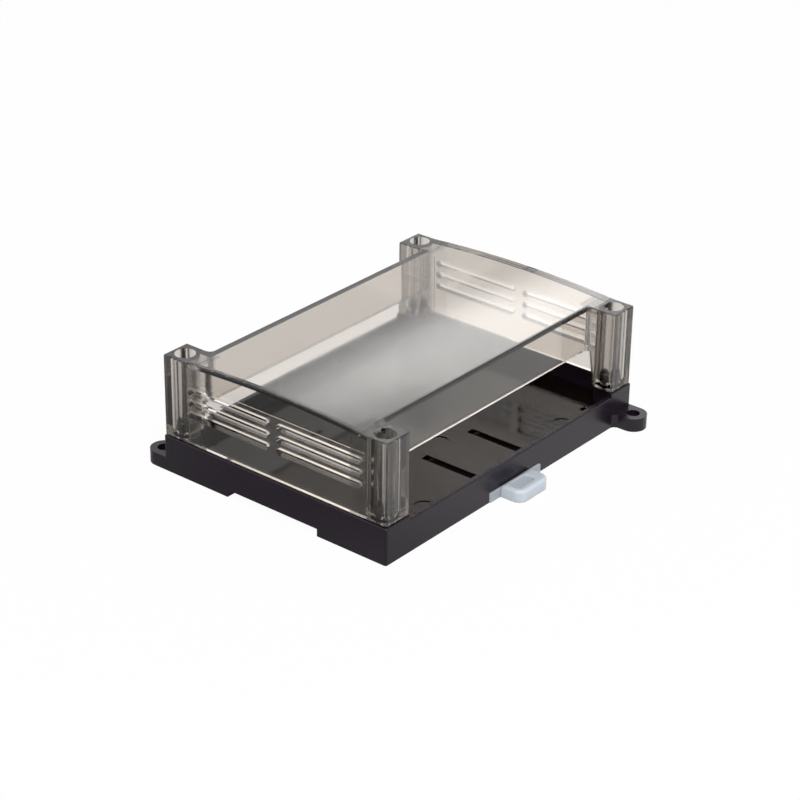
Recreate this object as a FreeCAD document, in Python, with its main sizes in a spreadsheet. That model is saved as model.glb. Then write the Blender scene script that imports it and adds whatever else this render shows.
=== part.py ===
import FreeCAD, Part
import Sketcher
import os

# Driving dimensions in millimetres. X runs along the rail, Y across it, Z up from the foot plane.
SIZES = [
    ("base_length", 125.0, "tray, along the rail"),
    ("base_width", 90.0, "tray, across the rail"),
    ("base_height", 12.4, "tray, foot to rim at the ends and corners"),
    ("rim_drop", 1.3, "how far the long rims lie below the corners"),
    ("base_wall", 1.8, "tray wall"),
    ("base_corner", 0.8, "tray upright corner radius"),
    ("base_edge", 0.3, "tray rim edge bevel"),
    ("floor_level", 6.0, "top of the tray floor"),
    ("floor_thickness", 2.0, "tray floor"),
    ("rib_thickness", 1.6, "ribs under the floor"),
    ("rib_pitch", 18.0, "seat ribs, spacing along the rail"),
    ("rib_count", 7.0, "seat ribs over the rail channel"),
    ("mark_radius", 3.0, "round ejector pads in the floor"),
    ("mark_depth", 0.25, "depth of the ejector pads"),
    ("mark_column", 35.4, "ejector pads, from the middle along the rail"),
    ("mark_row", 37.3, "outer ejector pads, from the middle across"),
    ("mark_middle", 15.0, "middle ejector pads, from the middle across"),
    ("board_column", 47.4, "board screw holes, from the middle along the rail"),
    ("board_row", 37.2, "board screw holes, from the middle across"),
    ("board_hole", 2.6, "board screw hole diameter"),
    ("board_depth", 4.5, "board screw hole depth"),
    ("board_boss", 6.0, "board screw boss diameter"),
    ("board_foot", 0.8, "underside of the board screw bosses"),
    ("ear_radius", 4.5, "fixing ear end radius"),
    ("ear_reach", 4.5, "tray side to fixing hole centre"),
    ("ear_thickness", 4.6, "fixing ear"),
    ("ear_hole", 4.4, "fixing hole diameter"),
    ("ear_blend", 2.0, "radius between ear and tray side"),
    ("rail_width", 35.0, "width over the rail flanges"),
    ("rail_play", 1.4, "rail play across the channel"),
    ("rail_flange", 1.0, "rail sheet thickness"),
    ("rail_seat", 2.5, "foot plane to rail seat"),
    ("hook_length", 14.0, "fixed rail hook"),
    ("hook_spacing", 50.0, "between the fixed hooks"),
    ("hook_grip", 1.6, "how far a fixed hook reaches under the flange"),
    ("hook_thickness", 1.2, "fixed rail hook lip"),
    ("clip_width", 25.8, "rail clip face"),
    ("clip_height", 3.3, "rail clip face"),
    ("clip_corner", 0.6, "upper corners of the rail clip face"),
    ("clip_proud", 0.4, "how far the clip face stands out of the tray side"),
    ("clip_play", 0.15, "running play of the clip in its guide"),
    ("clip_travel", 5.0, "pull of the clip"),
    ("clip_grip", 1.2, "how far the clip nose reaches under the flange"),
    ("nose_rise", 0.6, "lead-in on the clip nose"),
    ("nose_root", 5.6, "length of nose under the tongue"),
    ("lip_thickness", 1.0, "guide lips under the clip"),
    ("guide_wall", 2.4, "guide side walls"),
    ("slot_width", 3.0, "coring slots over the guide lips"),
    ("slot_front", 4.0, "tray side to the near end of the coring slots"),
    ("slit_width", 0.9, "slit that frees a spring arm"),
    ("arm_width", 2.5, "spring arm"),
    ("arm_length", 15.0, "spring arm"),
    ("catch_length", 2.0, "catch on a spring arm"),
    ("catch_reach", 0.7, "catch on a spring arm"),
    ("loop_width", 15.2, "pull loop, along the rail"),
    ("loop_reach", 7.8, "pull loop, out from the clip face"),
    ("loop_thickness", 4.0, "pull loop"),
    ("loop_bar", 2.4, "outer bar of the pull loop"),
    ("loop_arm", 2.0, "slim side arm of the pull loop"),
    ("loop_pad", 4.4, "broad side arm of the pull loop"),
    ("loop_root", 1.2, "web between clip face and loop hole"),
    ("loop_corner", 3.2, "outer corners of the pull loop"),
    ("loop_inside", 1.2, "inner corners of the pull loop"),
    ("loop_edge", 1.0, "top edge of the pull loop"),
    ("cover_gap", 0.4, "cover face inside tray face"),
    ("seam", 0.5, "shadow gap between tray rim and cover"),
    ("post_top", 40.2, "top of the corner posts"),
    ("crown_rise", 1.6, "crown of the top over the posts"),
    ("crown_half", 37.0, "half width of the crowned part"),
    ("roof", 2.2, "top thickness"),
    ("end_wall", 2.2, "end wall round the vents"),
    ("side_wall", 2.0, "long panels and the short walls of the posts"),
    ("post_length", 10.6, "corner post, along the rail"),
    ("recess", 10.3, "terminal recess, from the post face to the long panel"),
    ("panel_foot", 24.9, "lower edge of the long panels"),
    ("leg_step", 1.1, "post return wall clear of the long panel"),
    ("leg_slope", 1.8, "taper of the post return wall down to its foot"),
    ("cover_corner", 0.6, "upright edges of the cover"),
    ("recess_corner", 1.5, "upright hollow corners of the terminal recesses"),
    ("cover_edge", 0.45, "top edges of the cover"),
    ("leg_corner", 1.0, "foot corners of the post return walls"),
    ("bore", 6.8, "screw well diameter"),
    ("boss_wall", 1.2, "wall round a screw well"),
    ("bore_column", 5.0, "cover end to screw axis"),
    ("bore_row", 4.7, "cover side to screw axis"),
    ("shoulder", 2.2, "floor of a screw well, under the screw head"),
    ("screw_hole", 3.4, "clearance hole in the shoulder"),
    ("block_play", 0.25, "tray corner block behind the walls of its post"),
    ("block_depth", 6.0, "tray corner block, across the rail"),
    ("seat_diameter", 6.4, "round seat under a screw well"),
    ("vent_height", 2.15, "vent slot"),
    ("vent_length", 33.1, "vent slot"),
    ("vent_gap", 3.4, "bridge between the two groups of vents"),
    ("vent_pitch", 4.05, "vent slot spacing"),
    ("vent_top", 31.0, "axis of the top vent slot"),
    ("field_depth", 0.5, "thinned field round the vents, inside"),
    ("field_top", 33.5, "upper edge of the thinned field"),
    ("screw_diameter", 2.9, "cover screw over its thread"),
    ("screw_play", 0.05, "cover screw in its pilot hole"),
    ("screw_length", 8.0, "cover screw under its head"),
    ("head_diameter", 5.6, "cover screw head"),
    ("head_height", 2.0, "cover screw head"),
    ("cross_width", 0.8, "cross recess"),
    ("cross_length", 3.2, "cross recess"),
    ("cross_depth", 1.2, "cross recess"),
]

VENT_ROWS = 3
OVERCUT = 1.0


class Dim:
    """A size that carries both its expression on the sheet and its present value."""

    def __init__(self, text, value):
        self.text = text
        self.value = value

    def __add__(self, other):
        other = as_dim(other)
        return Dim("(%s + %s)" % (self.text, other.text), self.value + other.value)

    def __sub__(self, other):
        other = as_dim(other)
        return Dim("(%s - %s)" % (self.text, other.text), self.value - other.value)

    def __mul__(self, other):
        other = as_dim(other)
        return Dim("(%s * %s)" % (self.text, other.text), self.value * other.value)

    def __truediv__(self, other):
        other = as_dim(other)
        return Dim("(%s / %s)" % (self.text, other.text), self.value / other.value)

    def __neg__(self):
        return Dim("(0 - %s)" % self.text, -self.value)


def as_dim(number):
    if isinstance(number, Dim):
        return number
    return Dim("%r" % number, number)


def root(dim):
    return Dim("sqrt(%s)" % dim.text, dim.value ** 0.5)


class Sizes:
    """The spreadsheet and one Dim for each of its cells."""

    def __init__(self, doc):
        sheet = doc.addObject("Spreadsheet::Sheet", "Sizes")
        for row, (name, value, note) in enumerate(SIZES, 1):
            sheet.set("A%d" % row, name)
            sheet.set("B%d" % row, "%r" % value)
            sheet.set("C%d" % row, note)
            sheet.setAlias("B%d" % row, name)
            setattr(self, name, Dim("Sizes.%s" % name, value))
        doc.recompute()


class Outline:
    """A sketch on an origin plane of its own body, every point held by sizes."""

    def __init__(self, body, name, plane, offset=None):
        planes = {item.Role: item for item in body.Origin.OriginFeatures}
        self.sketch = body.newObject("Sketcher::SketchObject", name)
        self.sketch.AttachmentSupport = (planes[plane], [""])
        self.sketch.MapMode = "FlatFace"
        if offset is not None:
            self.sketch.setExpression("AttachmentOffset.Base.z", offset.text)

    def bind(self, constraint, dim):
        index = self.sketch.addConstraint(constraint)
        self.sketch.setExpression("Constraints[%d]" % index, dim.text)

    def hold(self, geometry, point, x, y):
        if x is not None:
            self.bind(Sketcher.Constraint("DistanceX", -1, 1, geometry, point, x.value), x)
        if y is not None:
            self.bind(Sketcher.Constraint("DistanceY", -1, 1, geometry, point, y.value), y)

    def path(self, points, arcs=None):
        """Closed loop. arcs maps an edge number to its centre, of which one coordinate is held."""
        arcs = arcs or {}
        places = [FreeCAD.Vector(x.value, y.value, 0) for x, y in points]
        count = len(points)
        ends = []
        for index, start in enumerate(places):
            stop = places[(index + 1) % count]
            if index in arcs:
                centre, sense, _ = arcs[index]
                middle = (start + stop) * 0.5
                across = (stop - start).cross(FreeCAD.Vector(0, 0, sense)).normalize()
                centre = FreeCAD.Vector(centre[0].value, centre[1].value, 0)
                top = centre + across * (start - centre).Length
                if (middle - centre).Length < 1e-6 or (top - middle).dot(across) > 0:
                    edge = Part.Arc(start, top, stop)
                else:
                    edge = Part.Arc(start, centre - across * (start - centre).Length, stop)
            else:
                edge = Part.LineSegment(start, stop)
            number = self.sketch.addGeometry(edge, False)
            first = 1
            if (self.sketch.getPoint(number, 1) - start).Length > 1e-6:
                first = 2
            ends.append((number, first, 3 - first))
        for index in range(count):
            number, first, last = ends[index]
            following, opening, _ = ends[(index + 1) % count]
            self.sketch.addConstraint(Sketcher.Constraint("Coincident", number, last, following, opening))
            self.hold(number, first, *points[index])
            if index in arcs:
                centre, _, axis = arcs[index]
                self.hold(number, 3, centre[0] if axis == "x" else None, centre[1] if axis == "y" else None)

    def rectangle(self, x0, x1, y0, y1):
        self.path([(x0, y0), (x1, y0), (x1, y1), (x0, y1)])

    def circle(self, x, y, radius):
        centre = FreeCAD.Vector(x.value, y.value, 0)
        edge = Part.Circle(centre, FreeCAD.Vector(0, 0, 1), radius.value)
        number = self.sketch.addGeometry(edge, False)
        self.hold(number, 3, x, y)
        self.bind(Sketcher.Constraint("Radius", number, radius.value), radius)

    def slot(self, x0, x1, y, height):
        """Rounded slot along the sketch's first axis, from end to end x0 to x1."""
        radius = height / 2
        low, high = y - radius, y + radius
        left, right = x0 + radius, x1 - radius
        points = [(left, low), (right, low), (right, high), (left, high)]
        self.path(points, {1: ((right, y), 1, "x"), 3: ((left, y), 1, "x")})


def feature(body, kind, name, outline, length, symmetric=False, reverse=False):
    """A pad or pocket of one outline, its length held by sizes."""
    item = body.newObject("PartDesign::" + kind, name)
    item.Profile = outline.sketch
    item.Length = length.value
    item.setExpression("Length", length.text)
    item.Reversed = reverse
    if symmetric:
        item.SideType = "Symmetric"
    return item


def mirrored(body, name, original, plane):
    item = body.newObject("PartDesign::Mirrored", name)
    item.Originals = [original]
    planes = {part.Role: part for part in body.Origin.OriginFeatures}
    item.MirrorPlane = (planes[plane], [""])
    body.Tip = item


def edged(doc, body, kind, measure, name, size, wanted):
    """Fillet or chamfer of every edge of the body that the wanted function picks."""
    doc.recompute()
    base = body.Tip
    names = ["Edge%d" % n for n, edge in enumerate(base.Shape.Edges, 1) if wanted(edge)]
    item = body.newObject("PartDesign::" + kind, name)
    item.Base = (base, names)
    setattr(item, measure, size.value)
    item.setExpression(measure, size.text)
    return item


def rounded(doc, body, name, radius, wanted):
    return edged(doc, body, "Fillet", "Radius", name, radius, wanted)


def bevelled(doc, body, name, size, wanted):
    return edged(doc, body, "Chamfer", "Size", name, size, wanted)


def upright_at(x, y):
    """Picks upright edges at the four places plus or minus x, plus or minus y."""
    def wanted(edge):
        start, stop = edge.Vertexes[0].Point, edge.Vertexes[-1].Point
        upright = abs(start.x - stop.x) + abs(start.y - stop.y) < 1e-4 < abs(start.z - stop.z)
        return upright and abs(abs(start.x) - x.value) < 1e-3 and abs(abs(start.y) - y.value) < 1e-3
    return wanted


def upright_on(x, rows):
    """Picks upright edges at x and at one of the rows."""
    def wanted(edge):
        start, stop = edge.Vertexes[0].Point, edge.Vertexes[-1].Point
        upright = abs(start.x - stop.x) + abs(start.y - stop.y) < 1e-4 < abs(start.z - stop.z)
        return upright and abs(start.x - x.value) < 1e-3 and any(abs(start.y - y.value) < 1e-3 for y in rows)
    return wanted


def ridges_at(x, z):
    """Picks edges across the rail at plus or minus x, at height z."""
    def wanted(edge):
        start, stop = edge.Vertexes[0].Point, edge.Vertexes[-1].Point
        across = abs(start.x - stop.x) + abs(start.z - stop.z) < 1e-4 < abs(start.y - stop.y)
        return across and abs(abs(start.x) - x.value) < 1e-3 and abs(start.z - z.value) < 1e-3
    return wanted


def level_rims(half_x, half_y, lowest):
    """Picks level edges on the four upright faces at half_x and half_y, from a height upwards."""
    def on_faces(point):
        return abs(abs(point.x) - half_x.value) < 1e-3 or abs(abs(point.y) - half_y.value) < 1e-3

    def wanted(edge):
        start, stop = edge.Vertexes[0].Point, edge.Vertexes[-1].Point
        level = abs(start.z - stop.z) < 1e-4 and start.z > lowest.value - 1e-3
        return level and on_faces(start) and on_faces(stop)
    return wanted


def lines_at(y, z):
    """Picks edges along the rail at plus or minus y, at height z."""
    def wanted(edge):
        start, stop = edge.Vertexes[0].Point, edge.Vertexes[-1].Point
        along = abs(start.y - stop.y) + abs(start.z - stop.z) < 1e-4 < abs(start.x - stop.x)
        return along and abs(abs(start.y) - y.value) < 1e-3 and abs(start.z - z.value) < 1e-3
    return wanted


def top_rims(lowest, rows):
    """Picks the edges round the top; of those along the rail only the ones at plus or minus the rows."""
    def wanted(edge):
        start, stop = edge.Vertexes[0].Point, edge.Vertexes[-1].Point
        along = abs(start.y - stop.y) < 1e-3
        outer = any(abs(abs(start.y) - row.value) < 1e-3 for row in rows)
        return min(start.z, stop.z) > lowest.value - 1e-3 and (outer or not along)
    return wanted


def four_corners(x, y):
    return [(x * sx, y * sy) for sx in (-1, 1) for sy in (-1, 1)]


class Frame:
    """Places that more than one piece needs, worked out from the sizes."""

    def __init__(self, s):
        self.half_length = s.base_length / 2
        self.half_width = s.base_width / 2
        self.inner_length = self.half_length - s.base_wall
        self.inner_width = self.half_width - s.base_wall
        self.underside = s.floor_level - s.floor_thickness
        self.channel = (s.rail_width + s.rail_play) / 2
        self.cover_length = self.half_length - s.cover_gap
        self.cover_width = self.half_width - s.cover_gap
        self.cover_foot = s.base_height + s.seam
        self.post_x = self.cover_length - s.post_length
        self.panel_y = self.cover_width - s.recess
        self.inside_x = self.cover_length - s.end_wall - s.field_depth
        self.inside_y = self.panel_y - s.side_wall
        self.bore_x = self.cover_length - s.bore_column
        self.bore_y = self.cover_width - s.bore_row
        self.shoulder_level = self.cover_foot + s.shoulder
        self.guide_half = s.clip_width / 2 + s.clip_play
        self.guide_top = s.clip_height + s.clip_play
        self.clip_back = self.inner_width + s.clip_play
        self.clip_face = self.half_width + s.clip_proud
        self.tongue_foot = s.lip_thickness + s.clip_play
        self.tongue_end = self.channel + s.clip_play * 2
        self.catch_back = self.tongue_end + s.catch_length
        self.ear_x = self.half_length - s.ear_radius
        self.ear_y = self.half_width + s.ear_reach


def build_tray(doc, s, f):
    body = doc.addObject("PartDesign::Body", "base_tray")
    body.Label = "base_tray"

    block = Outline(body, "tray_plan", "XY_Plane")
    block.rectangle(-f.half_length, f.half_length, -f.half_width, f.half_width)
    feature(body, "Pad", "tray_block", block, s.base_height)
    rounded(doc, body, "tray_corners", s.base_corner, upright_at(f.half_length, f.half_width))

    inside = Outline(body, "tray_inside_plan", "XY_Plane", s.base_height)
    inside.rectangle(-f.inner_length, f.inner_length, -f.inner_width, f.inner_width)
    feature(body, "Pocket", "tray_inside", inside, s.base_height - s.floor_level)

    rims = Outline(body, "rim_elevation", "XZ_Plane")
    rims.rectangle(-f.post_x, f.post_x, s.base_height - s.rim_drop, s.base_height + OVERCUT)
    feature(body, "Pocket", "long_rims", rims, s.base_width + OVERCUT, symmetric=True)
    bevelled(doc, body, "rim_edges", s.base_edge,
             level_rims(f.half_length, f.half_width, s.base_height - s.rim_drop))

    under = Outline(body, "underside_plan", "XY_Plane")
    under.rectangle(-f.inner_length, f.inner_length, -f.inner_width, f.inner_width)
    feature(body, "Pocket", "underside", under, f.underside, reverse=True)

    rib_outer = f.channel + s.rib_thickness
    guide_outer = f.guide_half + s.guide_wall
    ribs = Outline(body, "channel_rib_plan", "XY_Plane")
    ribs.rectangle(-f.inner_length, f.inner_length, f.channel, rib_outer)
    ribs.rectangle(-f.inner_length, -guide_outer, -rib_outer, -f.channel)
    ribs.rectangle(guide_outer, f.inner_length, -rib_outer, -f.channel)
    feature(body, "Pad", "channel_ribs", ribs, f.underside)

    first_rib = -(s.rib_pitch * (s.rib_count - 1) / 2)
    seat = Outline(body, "seat_rib_plan", "XY_Plane")
    seat.rectangle(first_rib - s.rib_thickness / 2, first_rib + s.rib_thickness / 2, -f.channel, f.channel)
    seat_rib = feature(body, "Pad", "seat_rib", seat, f.underside)
    pattern = body.newObject("PartDesign::LinearPattern", "seat_ribs")
    pattern.Originals = [seat_rib]
    axes = {item.Role: item for item in body.Origin.OriginFeatures}
    pattern.Direction = (axes["X_Axis"], [""])
    pattern.setExpression("Length", (s.rib_pitch * (s.rib_count - 1)).text)
    pattern.setExpression("Occurrences", s.rib_count.text)
    body.Tip = pattern

    channel = Outline(body, "channel_elevation", "YZ_Plane")
    channel.rectangle(-f.channel, f.channel, as_dim(-OVERCUT), s.rail_seat)
    feature(body, "Pocket", "rail_channel", channel, s.base_length + OVERCUT, symmetric=True)

    guides = Outline(body, "guide_wall_plan", "XY_Plane")
    for side in (-1, 1):
        edges = sorted([f.guide_half * side, guide_outer * side], key=lambda dim: dim.value)
        guides.rectangle(edges[0], edges[1], -f.inner_width, -f.channel)
    feature(body, "Pad", "guide_walls", guides, f.underside)

    ceiling = Outline(body, "guide_ceiling_plan", "XY_Plane", f.guide_top)
    ceiling.rectangle(-f.guide_half, f.guide_half, -f.inner_width, -f.channel)
    feature(body, "Pad", "guide_ceiling", ceiling, f.underside - f.guide_top)

    lips = Outline(body, "guide_lip_plan", "XY_Plane")
    slots = Outline(body, "guide_slot_plan", "XY_Plane", s.floor_level)
    for side in (-1, 1):
        edges = [(f.guide_half - s.slot_width) * side, f.guide_half * side]
        edges.sort(key=lambda dim: dim.value)
        lips.rectangle(edges[0], edges[1], -f.inner_width, -f.channel)
        slots.rectangle(edges[0], edges[1], -(f.half_width - s.slot_front), -f.channel)
    feature(body, "Pad", "guide_lips", lips, s.lip_thickness)
    feature(body, "Pocket", "guide_slots", slots, s.floor_level - f.guide_top)

    notch = Outline(body, "clip_notch_elevation", "XZ_Plane", f.half_width)
    notch.rectangle(-f.guide_half, f.guide_half, as_dim(-OVERCUT), f.guide_top)
    feature(body, "Pocket", "clip_notch", notch, s.base_wall)

    catch = Outline(body, "catch_pocket_plan", "XY_Plane", f.tongue_foot - s.clip_play)
    catch_outer = f.guide_half + s.catch_reach
    catch_front = f.catch_back + s.clip_travel + s.clip_play
    for side in (-1, 1):
        edges = sorted([f.guide_half * side, catch_outer * side], key=lambda dim: dim.value)
        catch.rectangle(edges[0], edges[1], -catch_front, -f.channel)
    feature(body, "Pocket", "catch_pockets", catch, f.guide_top - s.lip_thickness, reverse=True)

    hooks = Outline(body, "hook_plan", "XY_Plane")
    windows = Outline(body, "hook_window_plan", "XY_Plane", s.floor_level)
    for side in (-1, 1):
        middle = s.hook_spacing / 2 * side
        for outline in (hooks, windows):
            outline.rectangle(middle - s.hook_length / 2, middle + s.hook_length / 2,
                              f.channel - s.hook_grip, f.channel)
    feature(body, "Pad", "rail_hooks", hooks, s.hook_thickness)
    feature(body, "Pocket", "hook_windows", windows, s.floor_level - s.rail_seat)

    bosses = Outline(body, "board_boss_plan", "XY_Plane", s.board_foot)
    holes = Outline(body, "board_hole_plan", "XY_Plane", s.floor_level)
    for x, y in four_corners(s.board_column, s.board_row):
        bosses.circle(x, y, s.board_boss / 2)
        holes.circle(x, y, s.board_hole / 2)
    feature(body, "Pad", "board_bosses", bosses, f.underside - s.board_foot)
    feature(body, "Pocket", "board_holes", holes, s.board_depth)

    marks = Outline(body, "ejector_pad_plan", "XY_Plane", s.floor_level)
    for x, y in four_corners(s.mark_column, s.mark_row):
        marks.circle(x, y, s.mark_radius)
    for side in (-1, 1):
        marks.circle(s.mark_column * 0, s.mark_middle * side, s.mark_radius)
    feature(body, "Pocket", "ejector_pads", marks, s.mark_depth)

    block_inner = f.post_x + s.side_wall + s.block_play
    block_back = f.cover_width - s.side_wall - s.block_play - s.block_depth
    blocks = Outline(body, "corner_block_plan", "XY_Plane", s.floor_level)
    seats = Outline(body, "screw_seat_plan", "XY_Plane", s.base_height)
    pilots = Outline(body, "pilot_plan", "XY_Plane", f.cover_foot)
    for sx in (-1, 1):
        for sy in (-1, 1):
            block_x = [block_inner * sx, (f.half_length - s.base_wall / 2) * sx]
            block_y = [block_back * sy, (f.half_width - s.base_wall / 2) * sy]
            block_x.sort(key=lambda dim: dim.value)
            block_y.sort(key=lambda dim: dim.value)
            blocks.rectangle(block_x[0], block_x[1], block_y[0], block_y[1])
            seats.circle(f.bore_x * sx, f.bore_y * sy, s.seat_diameter / 2)
            pilots.circle(f.bore_x * sx, f.bore_y * sy, s.screw_diameter / 2 + s.screw_play)
    feature(body, "Pad", "corner_blocks", blocks, s.base_height - s.floor_level)
    feature(body, "Pad", "screw_seats", seats, s.seam)
    feature(body, "Pocket", "pilot_holes", pilots, s.screw_length - s.shoulder + OVERCUT)

    ears = Outline(body, "ear_plan", "XY_Plane")
    ear_holes = Outline(body, "ear_hole_plan", "XY_Plane", s.ear_thickness)
    for side in (-1, 1):
        root_y = -(f.half_width - s.base_wall / 2) * side
        near, far = (f.ear_x - s.ear_radius) * side, (f.ear_x + s.ear_radius) * side
        middle = -f.ear_y * side
        points = [(near, root_y), (near, middle), (far, middle), (far, root_y)]
        ears.path(points, {1: ((f.ear_x * side, middle), 1, "y")})
        ear_holes.circle(f.ear_x * side, middle, s.ear_hole / 2)
    feature(body, "Pad", "ears", ears, s.ear_thickness)
    feature(body, "Pocket", "ear_holes", ear_holes, s.ear_thickness)
    rounded(doc, body, "ear_blends", s.ear_blend, upright_at(f.ear_x - s.ear_radius, f.half_width))

    return body


def build_cover(doc, s, f):
    body = doc.addObject("PartDesign::Body", "clear_cover")
    body.Label = "clear_cover"

    crown_radius = (s.crown_half * s.crown_half + s.crown_rise * s.crown_rise) / (s.crown_rise * 2)
    crown_centre = s.post_top + s.crown_rise - crown_radius
    zero = s.crown_half * 0
    outside = Outline(body, "cover_elevation", "YZ_Plane")
    outside.path(
        [(-f.cover_width, f.cover_foot), (f.cover_width, f.cover_foot), (f.cover_width, s.post_top),
         (s.crown_half, s.post_top), (-s.crown_half, s.post_top), (-f.cover_width, s.post_top)],
        {3: ((zero, crown_centre), 1, "y")})
    feature(body, "Pad", "cover_block", outside, f.cover_length * 2, symmetric=True)

    recess = Outline(body, "recess_plan", "XY_Plane")
    for side in (-1, 1):
        edges = [f.panel_y * side, (f.cover_width + OVERCUT) * side]
        edges.sort(key=lambda dim: dim.value)
        recess.rectangle(-f.post_x, f.post_x, edges[0], edges[1])
    cover_top = s.post_top + s.crown_rise
    feature(body, "Pocket", "terminal_recesses", recess, cover_top + OVERCUT, reverse=True)
    rounded(doc, body, "cover_corners", s.cover_corner, upright_at(f.cover_length, f.cover_width))
    rounded(doc, body, "post_corners", s.cover_corner, upright_at(f.post_x, f.cover_width))
    rounded(doc, body, "recess_corners", s.recess_corner, upright_at(f.post_x, f.panel_y))
    rounded(doc, body, "top_edges", s.cover_edge, top_rims(s.post_top, [f.cover_width, f.panel_y]))

    inner_radius = crown_radius - s.roof
    spring = crown_centre + root(inner_radius * inner_radius - f.inside_y * f.inside_y)
    hollow = Outline(body, "inside_elevation", "YZ_Plane")
    hollow.path(
        [(-f.inside_y, f.cover_foot - OVERCUT), (f.inside_y, f.cover_foot - OVERCUT),
         (f.inside_y, spring), (-f.inside_y, spring)],
        {2: ((zero, crown_centre), 1, "y")})
    feature(body, "Pocket", "inside", hollow, f.inside_x * 2, symmetric=True)

    post_inner = f.post_x + s.side_wall
    posts = Outline(body, "post_inside_plan", "XY_Plane", f.cover_foot - OVERCUT)
    for sx in (-1, 1):
        for sy in (-1, 1):
            post_x = sorted([post_inner * sx, f.inside_x * sx], key=lambda dim: dim.value)
            post_y = sorted([(f.inside_y - OVERCUT) * sy, (f.cover_width - s.side_wall) * sy],
                            key=lambda dim: dim.value)
            posts.rectangle(post_x[0], post_x[1], post_y[0], post_y[1])
    feature(body, "Pocket", "post_insides", posts, s.post_top - s.roof - f.cover_foot + OVERCUT,
            reverse=True)

    leg_top = f.panel_y + s.leg_step
    leg_foot = leg_top + s.leg_slope
    openings = Outline(body, "opening_elevation", "YZ_Plane")
    openings.path(
        [(-leg_foot, f.cover_foot - OVERCUT), (leg_foot, f.cover_foot - OVERCUT),
         (leg_foot, f.cover_foot), (leg_top, s.panel_foot),
         (-leg_top, s.panel_foot), (-leg_foot, f.cover_foot)])
    feature(body, "Pocket", "side_openings", openings, post_inner * 2, symmetric=True)
    rounded(doc, body, "leg_corners", s.leg_corner, lines_at(leg_foot, f.cover_foot))

    bosses = Outline(body, "boss_plan", "XY_Plane", f.cover_foot)
    wells = Outline(body, "well_plan", "XY_Plane", s.post_top)
    holes = Outline(body, "screw_hole_plan", "XY_Plane", f.shoulder_level)
    for x, y in four_corners(f.bore_x, f.bore_y):
        bosses.circle(x, y, s.bore / 2 + s.boss_wall)
        wells.circle(x, y, s.bore / 2)
        holes.circle(x, y, s.screw_hole / 2)
    feature(body, "Pad", "bosses", bosses, s.post_top - s.roof - f.cover_foot)
    feature(body, "Pocket", "screw_wells", wells, s.post_top - f.shoulder_level)
    feature(body, "Pocket", "screw_holes", holes, s.shoulder)

    vents = Outline(body, "vent_elevation", "YZ_Plane", f.cover_length)
    for row in range(VENT_ROWS):
        level = s.vent_top - s.vent_pitch * row
        for side in (-1, 1):
            ends = [s.vent_gap / 2 * side, (s.vent_gap / 2 + s.vent_length) * side]
            ends.sort(key=lambda dim: dim.value)
            vents.slot(ends[0], ends[1], level, s.vent_height)
    vent_cut = feature(body, "Pocket", "vents", vents, s.end_wall + s.field_depth)
    mirrored(body, "far_vents", vent_cut, "YZ_Plane")

    field_half = f.bore_y - s.bore / 2 - s.boss_wall
    field = Outline(body, "field_elevation", "YZ_Plane", f.inside_x + s.field_depth)
    field.rectangle(-field_half, field_half, f.cover_foot - OVERCUT, s.field_top)
    field_cut = feature(body, "Pocket", "vent_field", field, s.field_depth)
    mirrored(body, "far_vent_field", field_cut, "YZ_Plane")

    return body


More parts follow.
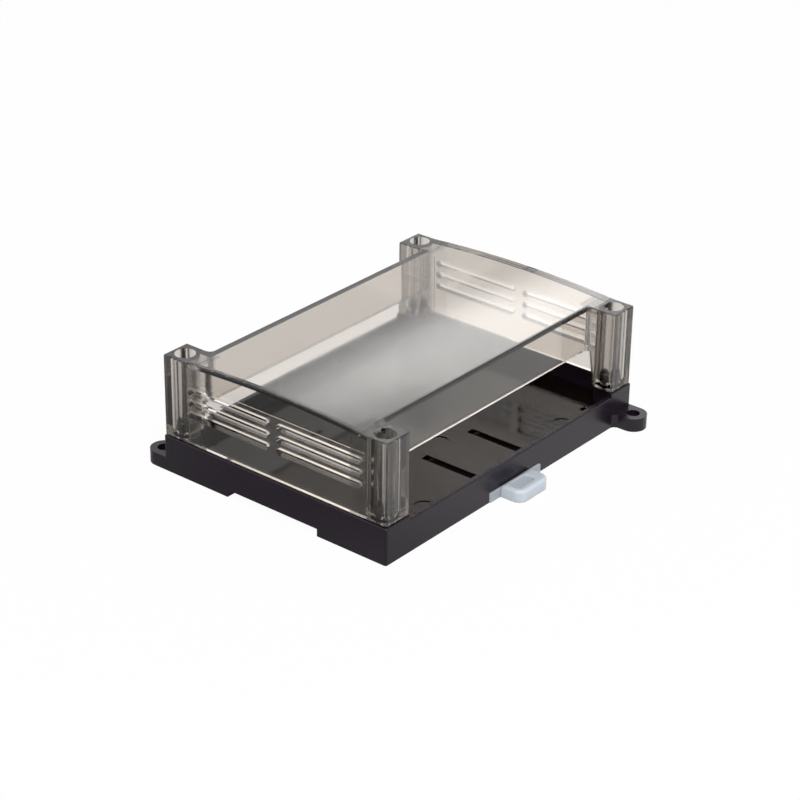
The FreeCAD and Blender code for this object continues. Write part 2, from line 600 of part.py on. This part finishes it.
def build_clip(doc, s, f):
    body = doc.addObject("PartDesign::Body", "din_clip")
    body.Label = "din_clip"
    half = s.clip_width / 2

    loop_half = s.loop_width / 2
    loop_end = f.clip_face + s.loop_reach
    loop = Outline(body, "loop_plan", "XY_Plane")
    loop.rectangle(-loop_half, loop_half, -loop_end, -f.clip_face)
    feature(body, "Pad", "loop", loop, s.loop_thickness)
    rounded(doc, body, "loop_corners", s.loop_corner, upright_at(loop_half, loop_end))

    gap = Outline(body, "loop_hole_plan", "XY_Plane", s.loop_thickness)
    gap_left, gap_right = s.loop_arm - loop_half, loop_half - s.loop_pad
    gap_near, gap_far = f.clip_face + s.loop_root, loop_end - s.loop_bar
    gap.rectangle(gap_left, gap_right, -gap_far, -gap_near)
    feature(body, "Pocket", "loop_hole", gap, s.loop_thickness)
    for side, x in (("left", gap_left), ("right", gap_right)):
        rounded(doc, body, "loop_hole_" + side, s.loop_inside, upright_on(x, [-gap_far, -gap_near]))
    rounded(doc, body, "loop_edges", s.loop_edge, level_rims(loop_half, loop_end, s.loop_thickness))

    plate = Outline(body, "face_plan", "XY_Plane")
    plate.rectangle(-half, half, -f.clip_face, -f.clip_back)
    feature(body, "Pad", "face_plate", plate, s.clip_height)
    rounded(doc, body, "face_corners", s.clip_corner, ridges_at(half, s.clip_height))

    tongue = Outline(body, "tongue_plan", "XY_Plane", f.tongue_foot)
    tongue.rectangle(-half, half, -f.clip_back, -f.tongue_end)
    feature(body, "Pad", "tongue", tongue, s.clip_height - f.tongue_foot)

    rail_edge = s.rail_width - f.channel
    nose_tip = rail_edge - s.clip_grip
    nose_foot = s.clip_play
    nose = Outline(body, "nose_elevation", "YZ_Plane")
    nose.path(
        [(-(f.tongue_end + s.nose_root), nose_foot), (-nose_tip, nose_foot),
         (-nose_tip, f.tongue_foot - s.nose_rise), (-(nose_tip + s.nose_rise * 2), f.tongue_foot),
         (-(f.tongue_end + s.nose_root), f.tongue_foot)])
    nose_half = f.guide_half - s.slot_width - s.clip_play * 2
    feature(body, "Pad", "nose", nose, nose_half * 2, symmetric=True)

    slits = Outline(body, "slit_plan", "XY_Plane", s.clip_height)
    catches = Outline(body, "catch_plan", "XY_Plane", f.tongue_foot)
    for side in (-1, 1):
        slit = [(half - s.arm_width) * side, (half - s.arm_width - s.slit_width) * side]
        slit.sort(key=lambda dim: dim.value)
        slits.rectangle(slit[0], slit[1], -(f.tongue_end + s.arm_length), -(f.tongue_end - OVERCUT))
        catch = [half * side, (half + s.catch_reach) * side]
        catch.sort(key=lambda dim: dim.value)
        catches.rectangle(catch[0], catch[1], -f.catch_back, -f.tongue_end)
    feature(body, "Pocket", "slits", slits, s.clip_height - f.tongue_foot)
    feature(body, "Pad", "catches", catches, s.clip_height - f.tongue_foot)

    return body


def build_screw(doc, s, f, number, x, y):
    name = "cover_screw_%d" % number
    body = doc.addObject("PartDesign::Body", name)
    body.Label = name
    axis = s.head_height * 0
    side = s.head_diameter / 2
    shank = s.screw_diameter / 2
    profile = Outline(body, name + "_profile", "XZ_Plane")
    profile.path(
        [(axis, -s.screw_length), (shank, -s.screw_length), (shank, axis),
         (side, axis), (side, s.head_height), (axis, s.head_height)])
    turned = body.newObject("PartDesign::Revolution", name + "_turned")
    turned.Profile = profile.sketch
    axes = {item.Role: item for item in body.Origin.OriginFeatures}
    turned.ReferenceAxis = (axes["Z_Axis"], [""])
    turned.Angle = 360.0
    cross = Outline(body, name + "_cross", "XY_Plane", s.head_height)
    arm, reach = s.cross_width / 2, s.cross_length / 2
    cross.path([(-reach, -arm), (-arm, -arm), (-arm, -reach), (arm, -reach), (arm, -arm), (reach, -arm),
                (reach, arm), (arm, arm), (arm, reach), (-arm, reach), (-arm, arm), (-reach, arm)])
    feature(body, "Pocket", name + "_recess", cross, s.cross_depth)
    body.setExpression("Placement.Base.x", x.text)
    body.setExpression("Placement.Base.y", y.text)
    body.setExpression("Placement.Base.z", f.shoulder_level.text)
    return body


def check(doc, pieces):
    """Stops before anything is written if a step failed or a piece is not one sound solid."""
    for item in doc.Objects:
        if "Invalid" in item.State or "Error" in item.State:
            raise RuntimeError("%s did not build: %s" % (item.Name, item.State))
    for piece in pieces:
        shape = piece.Shape
        if shape.isNull() or not shape.isValid() or len(shape.Solids) != 1:
            raise RuntimeError("%s is not one valid solid" % piece.Label)


def main():
    doc = FreeCAD.newDocument("rail_enclosure")
    s = Sizes(doc)
    f = Frame(s)
    pieces = [build_tray(doc, s, f), build_cover(doc, s, f), build_clip(doc, s, f)]
    for number, (x, y) in enumerate(four_corners(f.bore_x, f.bore_y), 1):
        pieces.append(build_screw(doc, s, f, number, x, y))
    doc.recompute()
    check(doc, pieces)
    os.makedirs("parts", exist_ok=True)
    for piece in pieces:
        piece.Shape.exportStep("parts/%s.step" % piece.Label)
        box = piece.Shape.BoundBox
        print("%-14s volume %9.1f  x %.2f %.2f  y %.2f %.2f  z %.2f %.2f" % (
            piece.Label, piece.Shape.Volume, box.XMin, box.XMax, box.YMin, box.YMax, box.ZMin, box.ZMax))


main()
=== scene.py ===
import bpy
import math
from mathutils import Matrix, Vector

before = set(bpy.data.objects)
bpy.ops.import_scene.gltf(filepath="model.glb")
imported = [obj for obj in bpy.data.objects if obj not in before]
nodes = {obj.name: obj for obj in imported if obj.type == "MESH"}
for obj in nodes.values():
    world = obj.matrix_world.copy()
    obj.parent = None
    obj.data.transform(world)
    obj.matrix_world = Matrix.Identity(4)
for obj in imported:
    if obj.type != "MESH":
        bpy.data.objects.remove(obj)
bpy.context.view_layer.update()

# Camera of the photograph: bearing, height and roll in degrees, distance from the foot of the
# tray and offsets in metres, lens and sensor in millimetres.
CAMERA_AZIMUTH = -50.982
CAMERA_ELEVATION = 27.301
CAMERA_ROLL = 0.853
CAMERA_DISTANCE = 0.77018
CAMERA_RIGHT = -0.00097
CAMERA_UP = 0.01357
CAMERA_LENS = 107.96
CAMERA_SENSOR = 36.0
CAMERA_CLIP = (0.01, 20.0)

# Zones with a finish or a painted shade of their own, in metres: the ranges of the distance from
# the middle in X and in Y, and of the height. A range that starts at ACROSS takes in the middle
# plane itself.
ACROSS = -1.0
POST_INSIDE = ((0.0516, 0.0618), (0.0300, 0.0443), (0.0, 0.0403))
PANEL_FOOT = ((ACROSS, 0.0540), (0.0320, 0.0346), (0.0246, 0.0252))
TRAY_FLOOR = ((ACROSS, 0.0606), (ACROSS, 0.0431), (0.0, 0.0061))
CLIP_PLATE = ((ACROSS, 0.0200), (0.0, 0.0456), (0.0, 0.0040))

# Finishes. Clouds, swell and grain are noise scales. A pair of colours or of roughnesses is the
# two ends of a slow drift over the surface. A bump is its strength and its depth in metres.

# Black plastic: the floor of the tray is smoother and less reflective than its walls, and its
# colour is painted darker as painted shade inside the tray.
TRAY_CLOUDS = 60.0
TRAY_WALL_COLOURS = ((0.0105, 0.0062, 0.0118), (0.0135, 0.0085, 0.0150))
TRAY_FLOOR_PAINTED_SHADE = (0.0045, 0.0026, 0.0024)
TRAY_ROUGHNESS = (0.24, 0.29)
TRAY_FLOOR_POLISH = 0.18
TRAY_SPECULAR_WALL_FLOOR = (0.5, 0.22)
TRAY_IOR = 1.36

# Smoked clear plastic: rougher inside the posts, and greyed there and at the foot of the long
# panels as painted shade.
COVER_CLOUDS = 45.0
COVER_COLOURS = ((0.97, 0.925, 0.87), (1.0, 0.96, 0.91))
COVER_PAINTED_SHADE_COLOUR = (0.40, 0.40, 0.42)
COVER_ROUGHNESS = (0.03, 0.06)
COVER_SWELL = 28.0
COVER_SWELL_BUMP = (0.10, 0.0006)
COVER_IOR = 1.58
POST_PAINTED_SHADE = 0.42
POST_ROUGHNESS_ADDED = 0.20
SMOKE_COLOUR = (0.35, 0.31, 0.28, 1.0)
SMOKE_DENSITY = 160.0

# White nylon: the clip's plate is thin, and the dark tray that shows through it is painted into
# its colour as painted shade.
CLIP_CLOUDS = 90.0
CLIP_COLOURS = ((0.55, 0.60, 0.66), (0.62, 0.66, 0.71))
CLIP_PAINTED_SHADE_COLOUR = (0.20, 0.21, 0.23)
CLIP_PAINTED_SHADE_SHARE = 0.5
CLIP_ROUGHNESS = (0.32, 0.42)
CLIP_GRAIN = 1800.0
CLIP_GRAIN_BUMP = (0.10, 0.00006)
CLIP_LIGHT_DEPTH = (0.0024, 0.0026, 0.0029)

# Dark steel.
SCREW_CLOUDS = 400.0
SCREW_COLOURS = ((0.05, 0.05, 0.052), (0.09, 0.088, 0.09))
SCREW_ROUGHNESS = (0.28, 0.45)
SCREW_COUNT = 4

# Studio, in metres and watts. The floor lights the part as paper does. Seen directly, in a
# mirror or through the cover, GLOW_SHARE of it is a white glow. In a mirror or through the cover
# that glow carries a painted shadow: it is dimmer near PAINTED_SHADOW_PLACE, by GLOW_STRENGTHS
# over GLOW_DISTANCES from there.
WHITE = (1.0, 1.0, 1.0, 1.0)
FLOOR_HALF = 3.0
FLOOR_LEVEL = -0.0001
PAPER_CLOUDS = 6.0
PAPER_COLOURS = ((0.86, 0.86, 0.86), (0.88, 0.88, 0.88))
GLOW_SHARE = 0.96
PAINTED_SHADOW_PLACE = (-0.115, 0.010, 0.0)
GLOW_STRENGTHS = (0.30, 1.0)
GLOW_DISTANCES = (0.045, 0.125)
WORLD_STRENGTH = 0.55
KEY_PLACE = (-0.5, -0.6, 0.9)
KEY_SIZE = (0.8, 0.8)
KEY_WATTS = 9.0
BACK_AZIMUTH = 31
BACK_ELEVATION = 29.5
BACK_DISTANCE = 1.6
BACK_TARGET_HEIGHT = 0.04
BACK_SIZE = (0.90, 0.36)
BACK_WATTS = 2.25

# A soft lamp fades between these distances from the middle of its face, whose sides are 1.
LAMP_MIDDLE = (0.5, 0.5, 0.0)
LAMP_FADE = (0.1, 0.5)

# Range that most values of a noise lie in, and the sockets of a Mix node that mixes colours.
NOISE_RANGE = (0.3, 0.7)
MIX_FIRST, MIX_SECOND, MIX_RESULT = 6, 7, 2


class Tree:
    """A node tree with short calls for the nodes that it uses."""

    def __init__(self, tree):
        self.tree = tree

    def node(self, kind, **values):
        node = self.tree.nodes.new(kind)
        for key, value in values.items():
            if key in node.inputs:
                self.set(node.inputs[key], value)
            else:
                setattr(node, key, value)
        return node

    def set(self, socket, value):
        if isinstance(value, bpy.types.NodeSocket):
            self.tree.links.new(value, socket)
        else:
            socket.default_value = value

    def math(self, operation, first, second=0.0):
        node = self.node("ShaderNodeMath", operation=operation)
        self.set(node.inputs[0], first)
        self.set(node.inputs[1], second)
        return node.outputs[0]

    def distance(self, vector, place):
        node = self.node("ShaderNodeVectorMath", operation="DISTANCE")
        self.set(node.inputs[0], vector)
        self.set(node.inputs[1], place)
        return node.outputs["Value"]

    def spread(self, value, results, limits=NOISE_RANGE, curve="LINEAR"):
        """Turns the value between the limits into one between the results."""
        node = self.node("ShaderNodeMapRange", Value=value, interpolation_type=curve)
        names = ("From Min", "From Max", "To Min", "To Max")
        for name, end in zip(names, (*limits, *results)):
            node.inputs[name].default_value = end
        return node.outputs["Result"]

    def mix_shaders(self, factor, first, second):
        node = self.node("ShaderNodeMixShader")
        for socket, value in zip(node.inputs, (factor, first.outputs[0], second.outputs[0])):
            self.set(socket, value)
        return node.outputs[0]

    def seen_directly(self):
        """1 for rays that come from the camera, off a mirror or through glass, else 0."""
        path = self.node("ShaderNodeLightPath").outputs
        total = path["Is Camera Ray"]
        for name in ("Is Glossy Ray", "Is Transmission Ray"):
            total = self.math("MAXIMUM", total, path[name])
        return total


class Material(Tree):
    """A material's node tree, its patterns laid out in the part's own metres."""

    def __init__(self, name):
        self.material = bpy.data.materials.new(name)
        self.material.use_nodes = True
        super().__init__(self.material.node_tree)
        self.tree.nodes.clear()
        self.output = self.node("ShaderNodeOutputMaterial")
        self.place = self.node("ShaderNodeTexCoord").outputs["Object"]

    def noise(self, scale, detail=3.0):
        node = self.node("ShaderNodeTexNoise", Vector=self.place, Scale=scale, Detail=detail)
        return node.outputs["Fac"]

    def inside(self, zone):
        """1 in the zone, else 0."""
        x, y, z = self.node("ShaderNodeSeparateXYZ", Vector=self.place).outputs
        measures = (self.math("ABSOLUTE", x), self.math("ABSOLUTE", y), z)
        total = 1.0
        for measure, (low, high) in zip(measures, zone):
            total = self.math("MULTIPLY", total, self.math("GREATER_THAN", measure, low))
            total = self.math("MULTIPLY", total, self.math("LESS_THAN", measure, high))
        return total

    def blend(self, factor, colours):
        """A colour between the two, each of them a socket or red, green and blue."""
        node = self.node("ShaderNodeMix", data_type="RGBA")
        self.set(node.inputs["Factor"], factor)
        for number, colour in zip((MIX_FIRST, MIX_SECOND), colours):
            linked = isinstance(colour, bpy.types.NodeSocket)
            self.set(node.inputs[number], colour if linked else (*colour, 1.0))
        return node.outputs[MIX_RESULT]

    def bump(self, height, strength, depth):
        node = self.node("ShaderNodeBump", Height=height, Strength=strength, Distance=depth)
        return node.outputs["Normal"]

    def body(self, inputs):
        """Gives the material a Principled surface with these inputs."""
        node = self.node("ShaderNodeBsdfPrincipled", **inputs)
        return self.finish(node.outputs["BSDF"])

    def finish(self, surface):
        self.set(self.output.inputs["Surface"], surface)
        return self.material


def black_plastic():
    sh = Material("black_plastic")
    cloud = sh.noise(TRAY_CLOUDS)
    floor = sh.inside(TRAY_FLOOR)
    walls = sh.blend(cloud, TRAY_WALL_COLOURS)
    polish = sh.math("MULTIPLY", floor, TRAY_FLOOR_POLISH)
    return sh.body({
        # Painted shade: the floor of the tray gets a darker colour than its walls.
        "Base Color": sh.blend(floor, (walls, TRAY_FLOOR_PAINTED_SHADE)),
        "Roughness": sh.math("SUBTRACT", sh.spread(cloud, TRAY_ROUGHNESS), polish),
        "Specular IOR Level": sh.spread(floor, TRAY_SPECULAR_WALL_FLOOR, limits=(0.0, 1.0)),
        "IOR": TRAY_IOR,
    })


def smoked_clear():
    sh = Material("smoked_clear")
    cloud = sh.noise(COVER_CLOUDS)
    swell = sh.noise(COVER_SWELL, detail=1.0)
    inner = sh.inside(POST_INSIDE)
    # Painted shade: the colour is partly greyed inside the posts and fully greyed at the foot of
    # the long panels.
    painted_shade = sh.math("MAXIMUM", sh.math("MULTIPLY", inner, POST_PAINTED_SHADE), sh.inside(PANEL_FOOT))
    clear = sh.blend(cloud, COVER_COLOURS)
    rougher = sh.math("MULTIPLY", inner, POST_ROUGHNESS_ADDED)
    smoke = sh.node("ShaderNodeVolumeAbsorption", Color=SMOKE_COLOUR, Density=SMOKE_DENSITY)
    sh.set(sh.output.inputs["Volume"], smoke.outputs["Volume"])
    return sh.body({
        "Base Color": sh.blend(painted_shade, (clear, COVER_PAINTED_SHADE_COLOUR)),
        "Roughness": sh.math("ADD", sh.spread(cloud, COVER_ROUGHNESS), rougher),
        "Normal": sh.bump(swell, *COVER_SWELL_BUMP),
        "IOR": COVER_IOR,
        "Transmission Weight": 1.0,
    })


def white_nylon():
    sh = Material("white_nylon")
    cloud = sh.noise(CLIP_CLOUDS)
    grain = sh.noise(CLIP_GRAIN, detail=2.0)
    # Painted shade: the plate's colour is greyed for the dark tray seen through it.
    painted_tray_shade = sh.math("MULTIPLY", sh.inside(CLIP_PLATE), CLIP_PAINTED_SHADE_SHARE)
    white = sh.blend(cloud, CLIP_COLOURS)
    return sh.body({
        "Base Color": sh.blend(painted_tray_shade, (white, CLIP_PAINTED_SHADE_COLOUR)),
        "Roughness": sh.spread(cloud, CLIP_ROUGHNESS),
        "Normal": sh.bump(grain, *CLIP_GRAIN_BUMP),
        "Subsurface Weight": 1.0,
        "Subsurface Radius": CLIP_LIGHT_DEPTH,
        "Subsurface Scale": 1.0,
    })


def dark_steel():
    sh = Material("dark_steel")
    cloud = sh.noise(SCREW_CLOUDS)
    return sh.body({
        "Base Color": sh.blend(cloud, SCREW_COLOURS),
        "Roughness": sh.spread(cloud, SCREW_ROUGHNESS),
        "Metallic": 1.0,
    })


def floor_paper():
    sh = Material("floor_paper")
    colour = sh.blend(sh.noise(PAPER_CLOUDS), PAPER_COLOURS)
    paper = sh.node("ShaderNodeBsdfDiffuse", Color=colour)
    # Painted shadow: the glow is dimmed round one place beside the part, in mirrors and through
    # the cover.
    painted_shadow = sh.spread(sh.distance(sh.place, PAINTED_SHADOW_PLACE), GLOW_STRENGTHS, GLOW_DISTANCES)
    camera = sh.node("ShaderNodeLightPath").outputs["Is Camera Ray"]
    strength = sh.math("MAXIMUM", painted_shadow, camera)
    glow = sh.node("ShaderNodeEmission", Color=WHITE, Strength=strength)
    share = sh.math("MULTIPLY", sh.seen_directly(), GLOW_SHARE)
    return sh.finish(sh.mix_shaders(share, paper, glow))


def make_camera():
    a, e, r = (math.radians(v) for v in (CAMERA_AZIMUTH, CAMERA_ELEVATION, CAMERA_ROLL))
    back = Vector((math.sin(a) * math.cos(e), -math.cos(a) * math.cos(e), math.sin(e)))
    level = Vector((math.cos(a), math.sin(a), 0))
    upright = back.cross(level)
    place = back * CAMERA_DISTANCE + level * CAMERA_RIGHT + upright * CAMERA_UP
    right = level * math.cos(r) + upright * math.sin(r)
    up = upright * math.cos(r) - level * math.sin(r)
    data = bpy.data.cameras.new("camera")
    data.lens = CAMERA_LENS
    data.sensor_width = CAMERA_SENSOR
    data.sensor_fit = "HORIZONTAL"
    data.clip_start, data.clip_end = CAMERA_CLIP
    camera = bpy.data.objects.new("camera", data)
    bpy.context.scene.collection.objects.link(camera)
    turn = Matrix((right, up, back)).transposed()
    camera.matrix_world = Matrix.Translation(place) @ turn.to_4x4()
    bpy.context.scene.camera = camera


def make_world():
    world = bpy.data.worlds.new("studio")
    bpy.context.scene.world = world
    world.use_nodes = True
    sh = Tree(world.node_tree)
    sh.tree.nodes.clear()
    output = sh.node("ShaderNodeOutputWorld")
    white = sh.node("ShaderNodeBackground", Color=WHITE, Strength=1.0)
    soft = sh.node("ShaderNodeBackground", Color=WHITE, Strength=WORLD_STRENGTH)
    sh.set(output.inputs["Surface"], sh.mix_shaders(sh.seen_directly(), soft, white))


def make_floor():
    corners = [(x * FLOOR_HALF, y * FLOOR_HALF, FLOOR_LEVEL)
               for x, y in ((-1, -1), (1, -1), (1, 1), (-1, 1))]
    mesh = bpy.data.meshes.new("floor")
    mesh.from_pydata(corners, [], [(0, 1, 2, 3)])
    floor = bpy.data.objects.new("floor", mesh)
    bpy.context.scene.collection.objects.link(floor)
    floor.data.materials.append(floor_paper())


def soft_edges(data):
    """Lets a lamp fall off from its middle to its edges, as a soft box does."""
    data.use_nodes = True
    sh = Tree(data.node_tree)
    glow = next(node for node in sh.tree.nodes if node.type == "EMISSION")
    spot = sh.node("ShaderNodeNewGeometry").outputs["Parametric"]
    away = sh.distance(spot, LAMP_MIDDLE)
    sh.set(glow.inputs["Strength"], sh.spread(away, (1.0, 0.0), LAMP_FADE, "SMOOTHSTEP"))


def make_lamp(name, place, target, size, watts):
    data = bpy.data.lights.new(name, "AREA")
    data.shape = "RECTANGLE"
    data.size, data.size_y = size
    data.energy = watts
    lamp = bpy.data.objects.new(name, data)
    bpy.context.scene.collection.objects.link(lamp)
    lamp.location = place
    lamp.rotation_mode = "QUATERNION"
    lamp.rotation_quaternion = (Vector(place) - Vector(target)).to_track_quat("Z", "Y")
    return data


def make_lamps():
    """The key lamp on the camera's side, and a soft one behind that the cover's top mirrors."""
    make_lamp("key", KEY_PLACE, (0, 0, 0), KEY_SIZE, KEY_WATTS)
    a, e = math.radians(BACK_AZIMUTH), math.radians(BACK_ELEVATION)
    across = math.cos(e) * BACK_DISTANCE
    height = math.sin(e) * BACK_DISTANCE + BACK_TARGET_HEIGHT
    place = (math.cos(a) * across, math.sin(a) * across, height)
    target = (0, 0, BACK_TARGET_HEIGHT)
    soft_edges(make_lamp("back", place, target, BACK_SIZE, BACK_WATTS))


def paint(obj, material):
    obj.data.materials.clear()
    obj.data.materials.append(material)


scene = bpy.context.scene
scene.view_settings.view_transform = "Standard"
# Enough bounces for light that passes the walls of the cover one after the other.
scene.cycles.transparent_max_bounces = 32
scene.cycles.max_bounces = 24
scene.cycles.transmission_bounces = 24
scene.cycles.glossy_bounces = 8
make_camera()
make_world()
make_floor()
make_lamps()

paint(nodes["base_tray"], black_plastic())
paint(nodes["clear_cover"], smoked_clear())
paint(nodes["din_clip"], white_nylon())
steel = dark_steel()
for number in range(1, SCREW_COUNT + 1):
    paint(nodes["cover_screw_%d" % number], steel)
